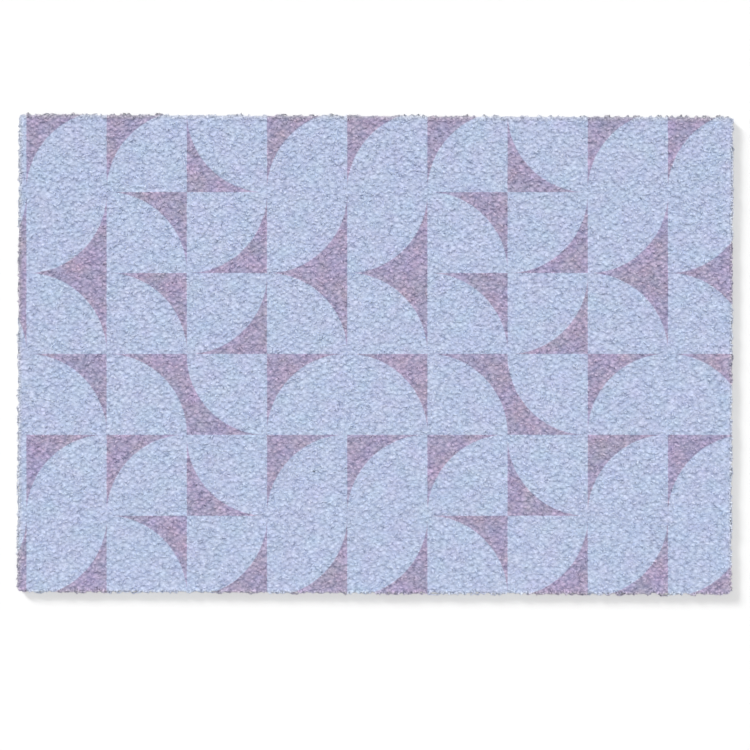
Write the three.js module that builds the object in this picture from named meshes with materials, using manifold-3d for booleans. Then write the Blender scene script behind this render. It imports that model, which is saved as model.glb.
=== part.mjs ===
// A rectangular doormat of looped vinyl, lying flat. Millimetres, +Z up.
// The origin is at the middle of the underside, and the long side runs along X.
import * as THREE from "three";
import { mergeVertices } from "three/addons/utils/BufferGeometryUtils.js";
import Module from "manifold-3d";

// The cut size, as far as the loops reach on every side.
const LENGTH = 914;
const WIDTH = 612;
const THICKNESS = 10;

// The loops at a cut corner are rubbed round, and those along the upper rim lean outwards and down.
const CORNER_RADIUS = 4;
const RIM = { drop: 3, inset: 2.4, steps: 3 };

// The knife drifts a little on its way round, and single tufts of loops stand out past its line.
// Each wave fits the edge a whole number of times, so the outline closes on itself.
const EDGE_STEP = 8;
const EDGE_WAVES = [
  { name: "drift of the long cuts", height: 0.7, timesRound: 7, start: 0.9 },
  { name: "drift between tufts", height: 0.4, timesRound: 31, start: 2.3 },
  { name: "broad tufts", height: 0.5, timesRound: 83, start: 4.1 },
  { name: "narrow tufts", height: 0.6, timesRound: 127, start: 1.6 },
];

// Light blue is most of the print. The mauve corners of the tiles are left to the finish.
const vinylLoops = new THREE.MeshStandardMaterial({
  name: "vinyl_loops",
  color: new THREE.Color(0.71, 0.76, 0.86),
  roughness: 0.75,
  metalness: 0,
});

const wasm = await Module();
wasm.setup();

// How far the edge stands out at a share of the way round, from 0 to 1.
function standOut(share) {
  return EDGE_WAVES.reduce(
    (sum, wave) => sum + wave.height * Math.sin(2 * Math.PI * wave.timesRound * share + wave.start),
    0,
  );
}

// A rectangle with rounded corners about the origin.
function roundedRectangle(length, width, radius) {
  const x = length / 2;
  const y = width / 2;
  const shape = new THREE.Shape();
  shape.moveTo(radius - x, -y);
  shape.lineTo(x - radius, -y);
  shape.absarc(x - radius, radius - y, radius, -Math.PI / 2, 0);
  shape.lineTo(x, y - radius);
  shape.absarc(x - radius, y - radius, radius, 0, Math.PI / 2);
  shape.lineTo(radius - x, y);
  shape.absarc(radius - x, y - radius, radius, Math.PI / 2, Math.PI);
  shape.lineTo(-x, radius - y);
  shape.absarc(radius - x, radius - y, radius, Math.PI, 1.5 * Math.PI);
  return shape;
}

// The cut outline: equal steps round the rectangle, each moved out along its own normal,
// then fitted to the cut size so that the mat is centred on the origin.
function cutOutline() {
  const around = 2 * (LENGTH + WIDTH);
  const steps = Math.round(around / EDGE_STEP);
  const points = roundedRectangle(LENGTH, WIDTH, CORNER_RADIUS).getSpacedPoints(steps);
  points.pop();
  const moved = points.map((point, i) => {
    const before = points[(i + points.length - 1) % points.length];
    const after = points[(i + 1) % points.length];
    const along = after.clone().sub(before).normalize();
    const outwards = new THREE.Vector2(along.y, -along.x);
    return point.clone().addScaledVector(outwards, standOut(i / points.length));
  });
  const box = new THREE.Box2().setFromPoints(moved);
  const centre = box.getCenter(new THREE.Vector2());
  const size = box.getSize(new THREE.Vector2());
  const fit = new THREE.Vector2(LENGTH / size.x, WIDTH / size.y);
  return moved.map((point) => point.sub(centre).multiply(fit));
}

// A closed geometry as a solid that can be cut.
function solidFrom(geometry) {
  const bare = geometry.clone();
  bare.deleteAttribute("normal");
  bare.deleteAttribute("uv");
  const merged = mergeVertices(bare, 1e-3);
  return new wasm.Manifold(
    new wasm.Mesh({
      numProp: 3,
      vertProperties: merged.attributes.position.array,
      triVerts: new Uint32Array(merged.index.array),
    }),
  );
}

// A solid as a geometry with flat facets.
function geometryFrom(solid) {
  const mesh = solid.getMesh();
  const geometry = new THREE.BufferGeometry();
  geometry.setAttribute("position", new THREE.BufferAttribute(mesh.vertProperties, 3));
  geometry.setIndex(new THREE.BufferAttribute(mesh.triVerts, 1));
  const faceted = geometry.toNonIndexed();
  faceted.computeVertexNormals();
  return faceted;
}

// The web of loops as one solid. Its rim is rounded above and below, and the lower rounding
// is then cut off level with the ground, so that the underside is flat right up to the edge.
function webGeometry() {
  const rounded = new THREE.ExtrudeGeometry(new THREE.Shape(cutOutline()), {
    depth: THICKNESS - RIM.drop,
    bevelEnabled: true,
    bevelThickness: RIM.drop,
    bevelSize: RIM.inset,
    bevelOffset: -RIM.inset,
    bevelSegments: RIM.steps,
  });
  const below = new THREE.BoxGeometry(2 * LENGTH, 2 * WIDTH, 2 * RIM.drop);
  below.translate(0, 0, -RIM.drop);
  return geometryFrom(solidFrom(rounded).subtract(solidFrom(below)));
}

const mat = new THREE.Mesh(webGeometry(), vinylLoops);
mat.name = "mat";

const doormat = new THREE.Group();
doormat.name = "doormat";
doormat.add(mat);

export default doormat;
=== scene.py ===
"""A doormat of looped vinyl: printed strands in upright loops, fused into a knobbly web."""

import math
from collections import namedtuple

import bmesh
import bpy
import numpy as np
from mathutils import Matrix, Vector, noise


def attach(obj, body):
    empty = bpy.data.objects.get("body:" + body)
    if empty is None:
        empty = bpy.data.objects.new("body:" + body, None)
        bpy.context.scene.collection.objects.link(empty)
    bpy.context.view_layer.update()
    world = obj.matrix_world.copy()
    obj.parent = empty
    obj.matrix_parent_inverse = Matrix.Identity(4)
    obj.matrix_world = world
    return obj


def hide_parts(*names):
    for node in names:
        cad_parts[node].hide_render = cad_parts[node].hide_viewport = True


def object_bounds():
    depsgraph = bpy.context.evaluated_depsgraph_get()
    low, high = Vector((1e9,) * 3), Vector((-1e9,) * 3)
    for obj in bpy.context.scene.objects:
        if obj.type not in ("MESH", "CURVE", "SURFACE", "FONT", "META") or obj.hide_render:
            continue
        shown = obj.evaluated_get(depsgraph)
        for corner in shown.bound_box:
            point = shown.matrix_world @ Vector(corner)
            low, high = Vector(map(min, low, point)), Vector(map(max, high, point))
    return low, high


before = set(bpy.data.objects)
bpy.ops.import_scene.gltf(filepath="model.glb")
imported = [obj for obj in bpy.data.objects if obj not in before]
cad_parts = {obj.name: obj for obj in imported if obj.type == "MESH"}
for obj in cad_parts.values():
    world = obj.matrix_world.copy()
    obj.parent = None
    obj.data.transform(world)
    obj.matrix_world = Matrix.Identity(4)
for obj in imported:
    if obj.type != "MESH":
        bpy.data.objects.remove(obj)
cad_low, cad_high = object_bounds()

# Sizes in metres. The frame gives the cut length, width and thickness.
MM = 0.001
LENGTH, WIDTH, THICKNESS = cad_high - cad_low
CORNER = 4 * MM

# The photograph is 750 pixels wide and shows 0.96 m. The mat lies a little above its middle.
# The camera sees nothing past the farthest distance.
PHOTO_WIDTH = 0.96
MAT_ABOVE_MIDDLE = 26.8 * MM
LENS, SENSOR = 100.0, 36.0
FARTHEST = 20

# A pale sky, and a weak lamp at the upper left of the photograph. The mat has a soft lamp
# overhead, a little towards its far side, and the floor has two lamps of its own. Each lamp has
# its strength, its spread and the way its rays run.
SKY_STRENGTH = 0.45
SIDE = (0.4, math.radians(20), (1, -1, -0.75))
MAT_OVERHEAD = (1.655, math.radians(85), (-0.05, -0.24, -1))
FLOOR_OVERHEAD = (1.66, 0.0, (0, 0, -1))
FLOOR_SIDE = (2.9, math.radians(16), (1, -1, -0.57))
FLOOR_TONE, FLOOR_ROUGHNESS = 0.735, 0.9
FLOOR_REACH = 12

# The print is a repeat of four by four tiles. It runs slightly out of true with the cut edges.
TILE_WIDTH, TILE_HEIGHT = 102.72 * MM, 103.64 * MM
PRINT_LEFT = -446.6 * MM
PRINT_TOP = 3 * TILE_HEIGHT + 0.2 * MM
PRINT_TURN = math.radians(0.22)

# The corner of each tile that is mauve. The rest of the tile is a quarter disc, whose radius is
# a little more than the tile.
DISC_RADIUS = 1.002
TILES = (
    ("TL", "TL", "BL", "TL"),
    ("BR", "TR", "BR", "BR"),
    ("TR", "TR", "BR", "TR"),
    ("TR", "TR", "BL", "TL"),
)

# The inks lie on the upper part of the web, and their hue drifts a little from patch to patch.
BLUE_INK, MAUVE_INK = (0.577, 0.644, 0.825), (0.476, 0.429, 0.600)
BLUE_DRIFT, MAUVE_DRIFT = (0.140, 0.110, 0.030), (0.290, 0.035, 0.254)
HUE_PATCH = 24 * MM
BARE_VINYL = (0.25, 0.25, 0.27)
INK_FROM, INK_TO = 0.5 * MM, 3.0 * MM
INK_BLEED, BLEED_SIZE, INK_BLUR = 1.3 * MM, 5 * MM, 0.8 * MM

# The ink thins out and turns grey along the edge. The whole print lies a little to the right of
# the cut mat and below it.
PRINT_SHIFT_X, PRINT_SHIFT_Y = 0.9 * MM, -2.0 * MM
INK_EDGE_FROM, INK_EDGE_TO = -3.9 * MM, -2.3 * MM
GREY_FROM, GREY_TO, GREYNESS = -2.5 * MM, 5.4 * MM, 0.75
GREY_TINT = (0.97, 1.0, 1.09)

# Painted light and shade in the web: round knobs the size of a loop, painted lighter in their
# middles and darker at their rims, painted shade in dark curls between them, tops painted lighter
# and lower parts darker, and an edge painted lighter against the shade there. Specks where ink has
# taken unevenly are the vinyl's own. Mauve shows all of them more strongly.
# The knobs carry painted light in their middles and painted shade at their rims.
KNOB_SIZE, KNOB_STRETCH, KNOB_PAINTED_SHADE = 6.6 * MM, 1.4, 0.2
KNOB_TURN, KNOB_DISORDER = (0, 0, math.radians(45)), 0.65
KNOB_TOP, KNOB_FALL, KNOB_POWER = 0.85, 2.6, 1.25
# The curls carry painted shade between the knobs.
CURL_SIZE, CURL_WIDTH, CURL_PAINTED_SHADE = 5.2 * MM, 0.05, 0.12
BETWEEN_CURLS = 1.3
SPECK_SIZE, SPECKS = 5.2 * MM, 0.1
SPECK_FROM, SPECK_TO = 0.25, 0.75
# Tops are painted lighter and lower parts darker, as painted light and shade.
TOP_PAINTED_FROM, TOP_PAINTED_TO, TOP_PAINTED_LIGHT = 6.5 * MM, 9.8 * MM, 0.10
# The edge is painted lighter, as painted light against the shade there.
EDGE_PAINTED_FROM, EDGE_PAINTED_TO, EDGE_PAINTED_LIGHT = -1.0 * MM, 7.0 * MM, 0.17
MAUVE_CONTRAST = 1.45
# In the painted light and shade and the specks, blue changes less than red and green do, so that
# the dark parts are a little bluer.
SHADE = (1.09, 1.0, 0.81)

# The vinyl is matt and slightly bumpy. The bumps are higher on the ground than on the strands.
ROUGH_FROM, ROUGH_RANGE, ROUGH_PATCH = 0.6, 0.3, 9 * MM
SPECULAR, SOFTNESS = 0.2, 0.3
BUMP_SIZE, STRAND_BUMPS, GROUND_BUMPS = 4 * MM, 1.0 * MM, 1.8 * MM

# Loops stand on edge along their row. Reach and height are half of one. Facing is how far it
# may turn, and lean how far it may tilt. Stray is how far it may lie from its place in the row.
Loops = namedtuple("Loops", "pitch middle reach height facing lean stray_along stray_across")
FIELD = Loops(4.6 * MM, 6.4 * MM, 1.2 * MM, 2.5 * MM, 2.4, 1.0, 2.1 * MM, 2.9 * MM)
RIM = Loops(3.6 * MM, 0, 1.2 * MM, 0, 1.6, 0.5, 1.2 * MM, 0)
TUFTS = Loops(4.2 * MM, 6.0 * MM, 0.8 * MM, 1.0 * MM, 2.4, 1.0, 1.0 * MM, 0)
# Each loop is drawn in a few steps. Its timing, size and height vary by up to the spreads.
STEPS = 4
PHASE_SPREAD, SIZE_SPREAD, LIFT_SPREAD = 1.7, 0.43, 0.7 * MM
STRAND, RIM_STRAND, TUFT_STRAND = 2.9 * MM, 2.4 * MM, 1.7 * MM
# Strands have three sides. Their corners lie this share of the thickness from the middle.
STRAND_SIDES, CORNER_SHARE = 3, 0.58

# The field of loops: its rows, how far in from the cut edge it starts, and its number of meshes.
ROW_SPACING = 4.6 * MM
FIELD_INSET = 3.2 * MM
BANDS = 5
SEED = 11

# The rim has three lines of loops, one over another: the middle and height of each, and how far
# it lies in from the top one.
RIM_LINES = (
    (8.0 * MM, 1.6 * MM, 0),
    (5.6 * MM, 2.0 * MM, 1.0 * MM),
    (3.0 * MM, 1.3 * MM, 1.5 * MM),
)
# How far in from the cut edge they lie, how far they stray from there, and how far tufts stray.
# The sides are in the order near, right, far and left.
RIM_SIDES = (
    (1.6 * MM, 3.0 * MM, 3.0 * MM),
    (1.1 * MM, 2.0 * MM, 1.8 * MM),
    (3.9 * MM, 3.2 * MM, 4.6 * MM),
    (1.5 * MM, 1.9 * MM, 1.7 * MM),
)
TUFT_OUT = 1.0 * MM

# The web turns down at its cut edge.
EDGE_DROP, EDGE_REACH = 0.5 * MM, 2.0 * MM

# The closed sheet under the loops: its height, how far in from the cut edge it starts, the
# spacing of its points, and its humps.
GROUND_TOP = 7.5 * MM
GROUND_INSET = 1.4 * MM
GROUND_STEP = 3.4 * MM
HUMP_HEIGHT, HUMP_SIZE = 1.5 * MM, 5.0 * MM

rng = np.random.default_rng(SEED)


class Signal:
    """A socket of a material's nodes. Arithmetic on signals adds Math nodes."""

    def __init__(self, tree, socket=None):
        self.tree = tree
        self.socket = socket

    def node(self, kind, settings, inputs, output=0):
        """Adds a node: its settings first, then the values or links of its sockets."""
        made = self.tree.nodes.new("ShaderNode" + kind)
        for name, value in settings.items():
            if name == "stops":
                ramp = made.color_ramp
                ramp.interpolation = "CONSTANT"
                while len(ramp.elements) < len(value):
                    ramp.elements.new(1.0)
                for element, (place, colour) in zip(ramp.elements, value):
                    element.position = place
                    element.color = (*colour, 1.0)
            else:
                setattr(made, name, value)
        for name, value in inputs.items():
            if isinstance(value, Signal):
                self.tree.links.new(value.socket, made.inputs[name])
            else:
                made.inputs[name].default_value = value
        return Signal(self.tree, made.outputs[output] if made.outputs else None)

    def math(self, operation, a, b=0.0, clamp=False):
        settings = {"operation": operation, "use_clamp": clamp}
        return self.node("Math", settings, {0: a, 1: b})

    def vector(self, operation, *others):
        """Vector arithmetic, number by number. A plain number counts as three equal ones."""
        return self.node("VectorMath", {"operation": operation}, dict(enumerate((self, *others))))

    def __add__(self, other):
        return self.math("ADD", self, other)

    __radd__ = __add__

    def __sub__(self, other):
        return self.math("SUBTRACT", self, other)

    def __rsub__(self, other):
        return self.math("SUBTRACT", other, self)

    def __mul__(self, other):
        return self.math("MULTIPLY", self, other)

    __rmul__ = __mul__

    def __truediv__(self, other):
        return self.math("DIVIDE", self, other)

    def __mod__(self, other):
        return self.math("FLOORED_MODULO", self, other)

    def __pow__(self, other):
        return self.math("POWER", self, other)

    def floor(self):
        return self.math("FLOOR", self)

    def between(self, low, high):
        """0 up to low, 1 from high on, and straight between them."""
        return self.math("DIVIDE", self - low, high - low, clamp=True)

    def part(self, axis):
        """One of the three numbers of a vector."""
        return self.node("SeparateXYZ", {}, {0: self}, output=axis)

    def mix(self, a, b):
        """Colour a where this is 0, and b where it is 1."""
        return self.node("Mix", {"data_type": "RGBA"}, {0: self, 6: a, 7: b}, output=2)

    def size(self):
        return self.math("ABSOLUTE", self)

    def blots(self, size, output="Fac"):
        """Noise at this place whose blots are about size across, from 0 to 1."""
        return self.node(
            "TexNoise", {}, {"Vector": self, "Scale": 1 / size, "Detail": 1.0}, output
        )


def mauve_share(x, y):
    """1 in the mauve corner of a tile and 0 in its quarter disc."""
    across = (x - PRINT_LEFT) / TILE_WIDTH
    down = (PRINT_TOP - y) / TILE_HEIGHT
    column = across.floor()
    row = down.floor()
    count = len(TILES) * len(TILES[0])
    stops = [
        (i / count, (float("L" in corner), float("T" in corner), 0.0))
        for i, corner in enumerate(corner for line in TILES for corner in line)
    ]
    number = (row % len(TILES)) * len(TILES[0]) + column % len(TILES[0])
    centre = x.node("ValToRGB", {"stops": stops}, {0: (number + 0.5) / count})
    from_centre_x = across - column - centre.part("X")
    from_centre_y = down - row - centre.part("Y")
    reach = (from_centre_x**2 + from_centre_y**2) ** 0.5
    blur = INK_BLUR / TILE_WIDTH
    return reach.between(DISC_RADIUS - blur / 2, DISC_RADIUS + blur / 2)


def from_edge(place, shift_x=0.0, shift_y=0.0):
    """How far in from the cut edge a spot is, or from that outline moved by the shift."""
    from_side = LENGTH / 2 - (place.part("X") - shift_x).size()
    return from_side.math("MINIMUM", from_side, WIDTH / 2 - (place.part("Y") - shift_y).size())


def painted_shading_and_specks(place):
    """How light each spot of the web is for its ink, about 1 on average: painted light and shade,
    and specks of uneven ink.
    """
    stretched = place.node(
        "Mapping", {}, {"Vector": place, "Rotation": KNOB_TURN, "Scale": (1, KNOB_STRETCH, 1)}
    )
    from_knob = place.node(
        "TexVoronoi",
        {"voronoi_dimensions": "2D"},
        {"Vector": stretched, "Scale": 1 / KNOB_SIZE, "Randomness": KNOB_DISORDER},
    )
    # Painted light on each knob's middle and painted shade at its rim.
    painted_knobs = 1 + KNOB_PAINTED_SHADE * (KNOB_TOP - KNOB_FALL * from_knob**KNOB_POWER)
    # Painted shade in the curls between the knobs.
    off_curl = (stretched.blots(CURL_SIZE) - 0.5).size().between(0, CURL_WIDTH)
    painted_curls = 1 - CURL_PAINTED_SHADE * (1 - BETWEEN_CURLS * off_curl)
    speck = stretched.blots(SPECK_SIZE).between(SPECK_FROM, SPECK_TO)
    specks = 1 + 2 * SPECKS * (speck - 0.5)
    # Painted light and shade: the tops lighter, the lower parts darker.
    painted_tops = 1 + 2 * TOP_PAINTED_LIGHT * (place.part("Z").between(TOP_PAINTED_FROM, TOP_PAINTED_TO) - 0.5)
    # Painted light: the web lighter near its cut edge, against the shade there.
    edges = 1 + EDGE_PAINTED_LIGHT * (1 - from_edge(place).between(EDGE_PAINTED_FROM, EDGE_PAINTED_TO))
    return painted_knobs * painted_curls * specks * painted_tops * edges


def printed_colour(place):
    """The web's colour: two inks on its upper part and bare vinyl elsewhere, times painted light
    and shade and specks.
    """
    turned = place.node(
        "Mapping", {"vector_type": "TEXTURE"}, {"Vector": place, "Rotation": (0, 0, PRINT_TURN)}
    )
    bleed = place.blots(BLEED_SIZE, output="Color")
    x = turned.part("X") + (bleed.part("X") - 0.5) * INK_BLEED
    y = turned.part("Y") + (bleed.part("Y") - 0.5) * INK_BLEED
    mauve = mauve_share(x, y)
    drift = place.blots(HUE_PATCH, output="Color").vector("SUBTRACT", (0.5, 0.5, 0.5))
    drift = drift.vector(
        "MULTIPLY_ADD", mauve.mix((*BLUE_DRIFT, 1), (*MAUVE_DRIFT, 1)), (1, 1, 1)
    )
    inks = mauve.mix((*BLUE_INK, 1), (*MAUVE_INK, 1)).vector("MULTIPLY", drift)
    inside = from_edge(place, PRINT_SHIFT_X, PRINT_SHIFT_Y)
    grey = place.node("RGBToBW", {}, {0: inks}).vector("MULTIPLY", GREY_TINT)
    greyness = GREYNESS * (1 - inside.between(GREY_FROM, GREY_TO))
    inked = inside.between(INK_EDGE_FROM, INK_EDGE_TO) * place.part("Z").between(INK_FROM, INK_TO)
    colour = inked.mix((*BARE_VINYL, 1), greyness.mix(inks, grey))
    # Painted light and shade, with the specks, darken and lighten the colour; mauve takes them more
    # strongly.
    shading_and_specks = painted_shading_and_specks(place) ** (1 + (MAUVE_CONTRAST - 1) * mauve)
    return colour.vector("MULTIPLY", (shading_and_specks - 1).vector("MULTIPLY_ADD", SHADE, (1, 1, 1)))


def vinyl(name, bumps):
    """Soft printed vinyl, and the height of the small bumps in its surface."""
    material = bpy.data.materials.new(name)
    material.use_nodes = True
    tree = material.node_tree
    tree.nodes.clear()
    place = Signal(tree).node("TexCoord", {}, {}, output="Object")
    bump = place.node("Bump", {}, {"Height": place.blots(BUMP_SIZE), "Distance": bumps})
    shader = place.node(
        "BsdfPrincipled",
        {},
        {
            "Base Color": printed_colour(place),
            "Roughness": ROUGH_FROM + ROUGH_RANGE * place.blots(ROUGH_PATCH),
            "Normal": bump,
            "Specular IOR Level": SPECULAR,
            "Diffuse Roughness": SOFTNESS,
        },
    )
    place.node("OutputMaterial", {}, {"Surface": shader})
    return material


def within_corners(x, y, inset):
    """The same points, with those past the mat's rounded corners drawn in to them."""
    past_x = np.abs(x) - (LENGTH / 2 - CORNER)
    past_y = np.abs(y) - (WIDTH / 2 - CORNER)
    reach = np.hypot(past_x, past_y)
    pull = np.where((past_x > 0) & (past_y > 0), np.minimum(1, (CORNER - inset) / reach), 1)
    return (
        np.where(pull < 1, np.sign(x) * (LENGTH / 2 - CORNER + past_x * pull), x),
        np.where(pull < 1, np.sign(y) * (WIDTH / 2 - CORNER + past_y * pull), y),
    )


def edge_drop(x, y):
    """How far the web has turned down at these points."""
    further_in = np.minimum(LENGTH / 2 - np.abs(x), WIDTH / 2 - np.abs(y))
    return EDGE_DROP * np.clip(1 - further_in / EDGE_REACH, 0, 1) ** 2


def looped_strand(start, end, loops, sense=1, head_start=0.0):
    """The middle line of a strand that runs in loops from start to end."""
    run = math.dist(start, end)
    turns = round(run / loops.pitch)
    turn = np.arange(turns * STEPS + 1) / STEPS

    def by_turn(spread):
        """A random value for each turn, running evenly from one to the next."""
        knots = rng.uniform(-spread, spread, turns + 1)
        return np.interp(turn, np.arange(turns + 1), knots)

    angle = 2 * math.pi * (turn + head_start) * sense + by_turn(PHASE_SPREAD)
    size = 1 + by_turn(SIZE_SPREAD)
    facing = by_turn(loops.facing)
    reach = loops.reach * size * np.cos(angle)
    tilt = loops.reach * size * np.sin(angle) * by_turn(loops.lean)
    along = reach * np.cos(facing) - tilt * np.sin(facing) + by_turn(loops.stray_along)
    across = reach * np.sin(facing) + tilt * np.cos(facing) + by_turn(loops.stray_across)
    along = along + turn / turns * run
    way_x, way_y = (end[0] - start[0]) / run, (end[1] - start[1]) / run
    x = start[0] + way_x * along - way_y * across
    y = start[1] + way_y * along + way_x * across
    x, y = within_corners(x, y, STRAND / 2)
    z = loops.middle + loops.height * size * np.sin(angle) + by_turn(LIFT_SPREAD)
    z = np.clip(z - edge_drop(x, y), STRAND / 2, THICKNESS - STRAND / 2)
    return np.stack([x, y, z], 1)


def map_from_above(mesh):
    """Gives the mesh a map as seen from above, which is the way that the print runs."""
    corner_vertex = np.empty(len(mesh.loops), np.int32)
    mesh.loops.foreach_get("vertex_index", corner_vertex)
    places = np.empty(len(mesh.vertices) * 3, np.float32)
    mesh.vertices.foreach_get("co", places)
    flat = places.reshape(-1, 3)[:, :2]
    low, high = flat.min(0), flat.max(0)
    uv_map = mesh.uv_layers.new(name="OFBake")
    uv_map.uv.foreach_set("vector", ((flat - low) / (high - low))[corner_vertex].ravel())


def tubes(name, lines, thickness):
    """Tubes along the lines, as one mesh with its ends closed."""
    section = bpy.data.curves.new("section", "CURVE")
    side = section.splines.new("POLY")
    side.points.add(STRAND_SIDES - 1)
    corners = [2 * math.pi * k / STRAND_SIDES for k in range(STRAND_SIDES)]
    side.points.foreach_set(
        "co", [v for a in corners for v in (math.cos(a), math.sin(a), 0.0, 1.0)]
    )
    side.use_cyclic_u = True
    section_ob = bpy.data.objects.new("section", section)
    bpy.context.scene.collection.objects.link(section_ob)
    curve = bpy.data.curves.new(name, "CURVE")
    curve.dimensions = "3D"
    curve.bevel_mode = "OBJECT"
    curve.bevel_object = section_ob
    curve.use_fill_caps = True
    for line in lines:
        spline = curve.splines.new("POLY")
        spline.points.add(len(line) - 1)
        spline.points.foreach_set("co", np.c_[line, np.ones(len(line))].ravel())
        spline.points.foreach_set("radius", np.full(len(line), thickness * CORNER_SHARE))
    path = bpy.data.objects.new(name + "_path", curve)
    bpy.context.scene.collection.objects.link(path)
    bpy.context.view_layer.update()
    drawn = path.evaluated_get(bpy.context.evaluated_depsgraph_get())
    mesh = bpy.data.meshes.new_from_object(drawn)
    bpy.data.objects.remove(path)
    bpy.data.objects.remove(section_ob)
    made = bpy.data.objects.new(name, mesh)
    bpy.context.scene.collection.objects.link(made)
    mesh.shade_smooth()
    map_from_above(mesh)
    return made


def ground():
    """The lower part of the web, as a closed sheet with a humped top that turns down at its rim."""
    bm = bmesh.new()
    size_x, size_y = LENGTH - 2 * GROUND_INSET, WIDTH - 2 * GROUND_INSET
    bmesh.ops.create_grid(
        bm,
        x_segments=round(size_x / GROUND_STEP),
        y_segments=round(size_y / GROUND_STEP),
        size=0.5,
        matrix=Matrix.Diagonal((size_x, size_y, 1, 1)),
    )
    top = list(bm.verts)
    rim = [e for e in bm.edges if e.is_boundary]
    lower = bmesh.ops.extrude_edge_only(bm, edges=rim)["geom"]
    for v in top:
        hump = HUMP_HEIGHT * noise.noise(v.co / HUMP_SIZE)
        v.co.z = GROUND_TOP + hump - edge_drop(v.co.x, v.co.y)
    bmesh.ops.holes_fill(bm, edges=[e for e in lower if isinstance(e, bmesh.types.BMEdge)], sides=0)
    for v in bm.verts:
        v.co.x, v.co.y = within_corners(v.co.x, v.co.y, GROUND_INSET)
    bmesh.ops.recalc_face_normals(bm, faces=bm.faces)
    for face in bm.faces:
        face.smooth = len(face.verts) == 4
    mesh = bpy.data.meshes.new("mat_ground")
    bm.to_mesh(mesh)
    bm.free()
    made = bpy.data.objects.new("mat_ground", mesh)
    bpy.context.scene.collection.objects.link(made)
    return made


def camera():
    data = bpy.data.cameras.new("camera")
    data.lens, data.sensor_width = LENS, SENSOR
    eye = bpy.data.objects.new("camera", data)
    bpy.context.scene.collection.objects.link(eye)
    height = PHOTO_WIDTH / 2 / (SENSOR / 2 / LENS)
    eye.location = (0, -MAT_ABOVE_MIDDLE, THICKNESS + height)
    eye.rotation_euler = (0, 0, PRINT_TURN)
    data.clip_end = FARTHEST
    bpy.context.scene.camera = eye


def lamp(name, strength, spread, rays):
    data = bpy.data.lights.new(name, "SUN")
    data.energy = strength
    data.angle = spread
    made = bpy.data.objects.new(name, data)
    made.rotation_mode = "QUATERNION"
    made.rotation_quaternion = Vector(rays).to_track_quat("-Z", "Y")
    bpy.context.scene.collection.objects.link(made)
    return made


def studio():
    """A pale floor under soft light."""
    bm = bmesh.new()
    bmesh.ops.create_grid(bm, x_segments=1, y_segments=1, size=FLOOR_REACH)
    mesh = bpy.data.meshes.new("floor")
    bm.to_mesh(mesh)
    bm.free()
    floor = bpy.data.objects.new("floor", mesh)
    bpy.context.scene.collection.objects.link(floor)
    paper = bpy.data.materials.new("paper")
    paper.use_nodes = True
    shader = paper.node_tree.nodes["Principled BSDF"]
    shader.inputs["Base Color"].default_value = (FLOOR_TONE, FLOOR_TONE, FLOOR_TONE, 1)
    shader.inputs["Roughness"].default_value = FLOOR_ROUGHNESS
    mesh.materials.append(paper)

    lamp("side", *SIDE)
    all_but_floor = bpy.data.collections.new("all_but_floor")
    all_but_floor.objects.link(floor)
    all_but_floor.collection_objects[0].light_linking.link_state = "EXCLUDE"
    lamp("mat_overhead", *MAT_OVERHEAD).light_linking.receiver_collection = all_but_floor
    only_floor = bpy.data.collections.new("only_floor")
    only_floor.objects.link(floor)
    lamp("floor_overhead", *FLOOR_OVERHEAD).light_linking.receiver_collection = only_floor
    lamp("floor_side", *FLOOR_SIDE).light_linking.receiver_collection = only_floor

    world = bpy.data.worlds.new("studio")
    world.use_nodes = True
    sky = world.node_tree.nodes["Background"]
    sky.inputs["Color"].default_value = (1, 1, 1, 1)
    sky.inputs["Strength"].default_value = SKY_STRENGTH
    bpy.context.scene.world = world
    bpy.context.scene.view_settings.view_transform = "Standard"


def finish_piece(piece, material):
    piece.data.materials.append(material)
    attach(piece, "root")


def rows():
    """The strands that fill the mat, one to a row. Every other one winds the other way."""
    half_length = LENGTH / 2 - FIELD_INSET
    half_width = WIDTH / 2 - FIELD_INSET
    count = round(2 * half_width / ROW_SPACING) + 1
    lines = []
    for i, y in enumerate(np.linspace(-half_width, half_width, count)):
        odd = i % 2
        lines.append(
            looped_strand((-half_length, y), (half_length, y), FIELD, 1 - 2 * odd, odd / 2)
        )
    return lines


def along_sides(inset):
    """The start and end of each side of the mat, so far in from the cut edge."""
    x, y = LENGTH / 2 - inset, WIDTH / 2 - inset
    corners = [(-x, -y), (x, -y), (x, y), (-x, y)]
    return list(zip(corners, corners[1:] + corners[:1]))


def rim_strands():
    """The strands round the cut edge."""
    lines = []
    for side, (inset, stray, _) in enumerate(RIM_SIDES):
        for middle, height, further_in in RIM_LINES:
            start, end = along_sides(inset + further_in)[side]
            loops = RIM._replace(middle=middle, height=height, stray_across=stray - further_in)
            lines.append(looped_strand(start, end, loops))
    return lines


def tuft_strands():
    """Thin strands that stand out of the cut edge in places."""
    lines = []
    for side, (inset, _, stray) in enumerate(RIM_SIDES):
        start, end = along_sides(inset - TUFT_OUT)[side]
        lines.append(looped_strand(start, end, TUFTS._replace(stray_across=stray)))
    return lines


camera()
studio()

strand_vinyl = vinyl("strand_vinyl", STRAND_BUMPS)
ground_vinyl = vinyl("ground_vinyl", GROUND_BUMPS)

mat_ground = ground()
finish_piece(mat_ground, ground_vinyl)
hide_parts("mat")

row_lines = rows()
for band, members in enumerate(np.array_split(np.arange(len(row_lines)), BANDS), 1):
    piece = tubes(f"loops_{band}", [row_lines[i] for i in members], STRAND)
    finish_piece(piece, strand_vinyl)

for name, strands, thickness in (
    ("rim_loops", rim_strands(), RIM_STRAND),
    ("rim_tufts", tuft_strands(), TUFT_STRAND),
):
    piece = tubes(name, strands, thickness)
    finish_piece(piece, strand_vinyl)
